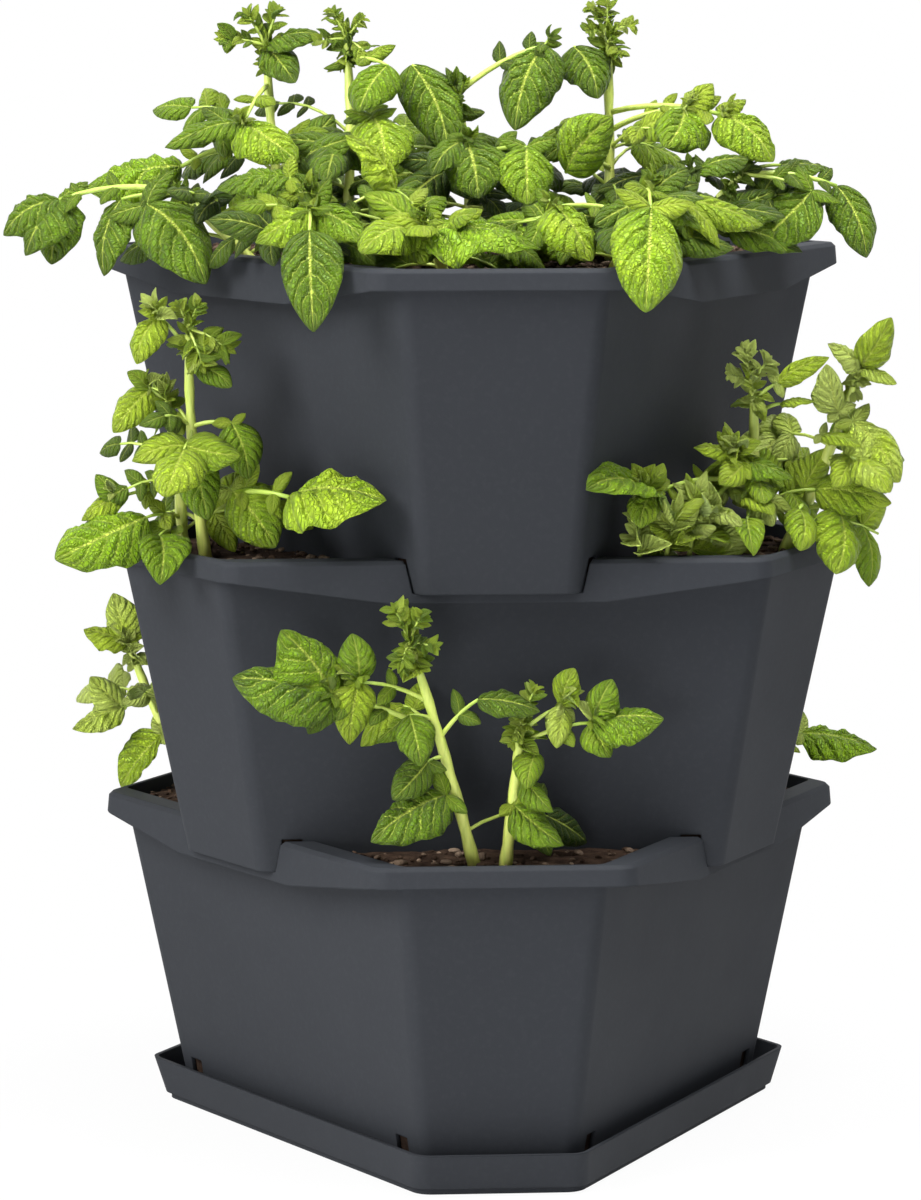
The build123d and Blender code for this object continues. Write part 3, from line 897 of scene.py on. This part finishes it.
for body, plants in zip(levels, (bottom_plants, middle_plants, top_plants)):
    for name, (light, root, top, leaf_list) in plants.items():
        plant = Plant(name, grounds[levels[body]], light, **looks[name])
        path = plant.grow_stem(root, top)
        for share, stalk_end, tips in leaf_list:
            plant.grow_leaf(path, share, stalk_end, tips)
        plant.grow_crown(path)
        plant.grow_extra_leaves(path)
        plant.grow_shoots()
        for piece in plant.finish(name):
            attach(piece, body)
            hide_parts(name)


# Soil: a lumpy skin and loose crumbs wherever a tier is open, in millimetres

# How far the soil comes up the tub that stands in it
covered_height = 12
skin_step = 5
skin_reach = 240
skin_lift = 1.6
crumb_reach = 235
crumb_tries = 2600
crumb_sizes = (1.4, 1.8, 2.4, 3.6)
crumb_lift = 1.8
# A crumb's outline from its top to its foot: share of its radius, and height
crumb_rings = ((0.0, 1.0), (0.85, 0.45), (0.95, -0.3), (0.0, -0.9))
crumb_sides = 6


def open_soil(x, y, level, margin):
    """Whether the soil of a tier lies open to the sky at a point in millimetres."""
    if not in_tub((x, y), level, soil_level, -tub_wall - margin):
        return False
    return level == 2 or not in_tub((x, y), level + 1, covered_height, margin)


def crumb(growth, centre, size, chance, tint):
    """One irregular crumb: a squashed, dented ball."""
    top = len(growth.points)
    upper = top + 1
    lower = upper + crumb_sides
    bottom = lower + crumb_sides
    tilt = Matrix.Rotation(chance.uniform(0, pi), 3, "Z") @ Matrix.Rotation(chance.uniform(-0.4, 0.4), 3, "X")
    stretch = Vector((chance.uniform(0.7, 1.5), chance.uniform(0.6, 1.0), chance.uniform(0.4, 0.7)))
    for radius, height in crumb_rings:
        for k in range(crumb_sides if radius else 1):
            turn = 2 * pi * k / crumb_sides + height
            reach = chance.uniform(0.75, 1.2)
            rise = height * chance.uniform(0.8, 1.1)
            point = Vector((cos(turn) * radius * reach, sin(turn) * radius * reach, rise))
            growth.points.append(centre + tilt @ (point * stretch) * size)
            growth.places.append((0, 0))
            growth.tints.append((tint, 0, 0))
    for k in range(crumb_sides):
        after = (k + 1) % crumb_sides
        growth.faces.append((top, upper + k, upper + after))
        growth.faces.append((upper + k, lower + k, lower + after, upper + after))
        growth.faces.append((bottom, lower + after, lower + k))


for body, level in levels.items():
    chance = random.Random(body)
    soil = Growth()
    ground = grounds[level]
    shown = {}
    for x in range(-skin_reach, skin_reach, skin_step):
        for y in range(-skin_reach, skin_reach, skin_step):
            if open_soil(x, y, level, 1.5):
                rough = noise.noise(Vector((x, y, level * 50)) * 0.055)
                rough += 0.6 * noise.noise(Vector((x, y, 9)) * 0.15)
                shown[x, y] = len(soil.points)
                soil.points.append(Vector((x, y, ground + skin_lift + skin_lift * max(-0.8, rough))) * MM)
                soil.places.append((0, 0))
                soil.tints.append((max(0, noise.noise(Vector((x, y, 5)) * 0.4)) * 0.5, 0, 0))
    for x, y in shown:
        square = [(x, y), (x + skin_step, y), (x + skin_step, y + skin_step), (x, y + skin_step)]
        if all(corner in shown for corner in square):
            soil.faces.append(tuple(shown[corner] for corner in square))
    for _ in range(crumb_tries):
        x, y = chance.uniform(-crumb_reach, crumb_reach), chance.uniform(-crumb_reach, crumb_reach)
        size = chance.choice(crumb_sizes)
        if open_soil(x, y, level, size * 1.6 + 1):
            pale = chance.random() ** 3
            crumb(soil, Vector((x, y, ground + crumb_lift + size * 0.35)) * MM, size * MM, chance, pale)
    piece = soil.finish("soil_crumbs_" + body, [soil_loose])
    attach(piece, body)

for name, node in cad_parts.items():
    if name.startswith("tier") or name == "saucer":
        node.data.materials.clear()
        node.data.materials.append(anthracite)
    elif name.startswith("soil"):
        node.data.materials.clear()
        node.data.materials.append(soil_block_painted_shade)


# Studio: white floor that keeps a soft shadow, large soft lamps, and a camera at the photograph's angle

floor_mesh = bpy.data.meshes.new("floor")
floor_mesh.from_pydata([(-8, -4, 0), (8, -4, 0), (8, 12, 0), (-8, 12, 0)], [], [(0, 1, 2, 3)])
floor = bpy.data.objects.new("floor", floor_mesh)
bpy.context.scene.collection.objects.link(floor)
floor.location.z = -0.0005
paint = Paint(bpy.data.materials.new("floor_white"))
paint.dress({"Base Color": (0.80, 0.80, 0.80), "Roughness": 0.8, "Specular IOR Level": 0.1})
white = paint.nodes.new("ShaderNodeEmission")
white.inputs["Strength"].default_value = 1.0
away = paint.nodes.new("ShaderNodeVectorMath")
away.operation = "LENGTH"
paint.feed(away.inputs[0], paint.coordinates("Object"))
paleness = paint.ease(away.outputs["Value"], 0.30, 0.60, 0.95, 1.0)
paint.blend(
    paint.math("MULTIPLY", paint.seen(), paleness), paint.nodes["Principled BSDF"], white, "Material Output")
floor_mesh.materials.append(paint.owner)

# Soft light from all around, weaker from the right, and a white backdrop
paint = Paint(bpy.data.worlds.new("studio"))
bpy.context.scene.world = paint.owner
ambient = paint.nodes["Background"]
paint.feed(ambient.inputs["Color"], (0.95, 0.97, 1.0))
sideways = paint.parts(paint.coordinates("Generated"))[0]
paint.feed(ambient.inputs["Strength"], paint.ease(sideways, -1.0, 1.0, 0.38, 0.16))
backdrop = paint.nodes.new("ShaderNodeBackground")
paint.feed(backdrop.inputs["Color"], (1, 1, 1))
backdrop.inputs["Strength"].default_value = 1.0
paint.blend(paint.seen(), ambient, backdrop, "World Output")


def aimed(name, data, place, way):
    """A lamp or camera at a place, looking along a way."""
    made = bpy.data.objects.new(name, data)
    made.location = place
    made.rotation_euler = Vector(way).to_track_quat("-Z", "Y").to_euler()
    bpy.context.scene.collection.objects.link(made)
    return made


def lamp(name, place, aim, size, power, colour):
    """A square soft lamp that looks at a point."""
    light = bpy.data.lights.new(name, "AREA")
    light.size = size
    light.energy = power
    light.color = colour
    aimed(name, light, place, Vector(aim) - Vector(place))


lamp("key", (-2.9, -1.6, 2.4), aim=(0, 0, 0.35), size=2.2, power=180, colour=(1.0, 0.99, 0.97))
lamp("low", (-0.9, -2.3, 0.1), aim=(0, 0, 0.05), size=0.8, power=23, colour=(0.97, 0.98, 1.0))
lamp("top", (0.45, -0.6, 2.6), aim=(0, 0, 0.5), size=1.5, power=100, colour=(1.0, 1.0, 1.0))

camera_data = bpy.data.cameras.new("camera")
camera_data.sensor_width = 36
camera_data.lens = 137.4
camera_data.clip_end = 50
bpy.context.scene.camera = aimed("camera", camera_data, (-0.208, -2.940, 0.731), (0.0665, 0.9891, -0.1312))
bpy.context.scene.view_settings.view_transform = "Standard"

bpy.context.view_layer.update()
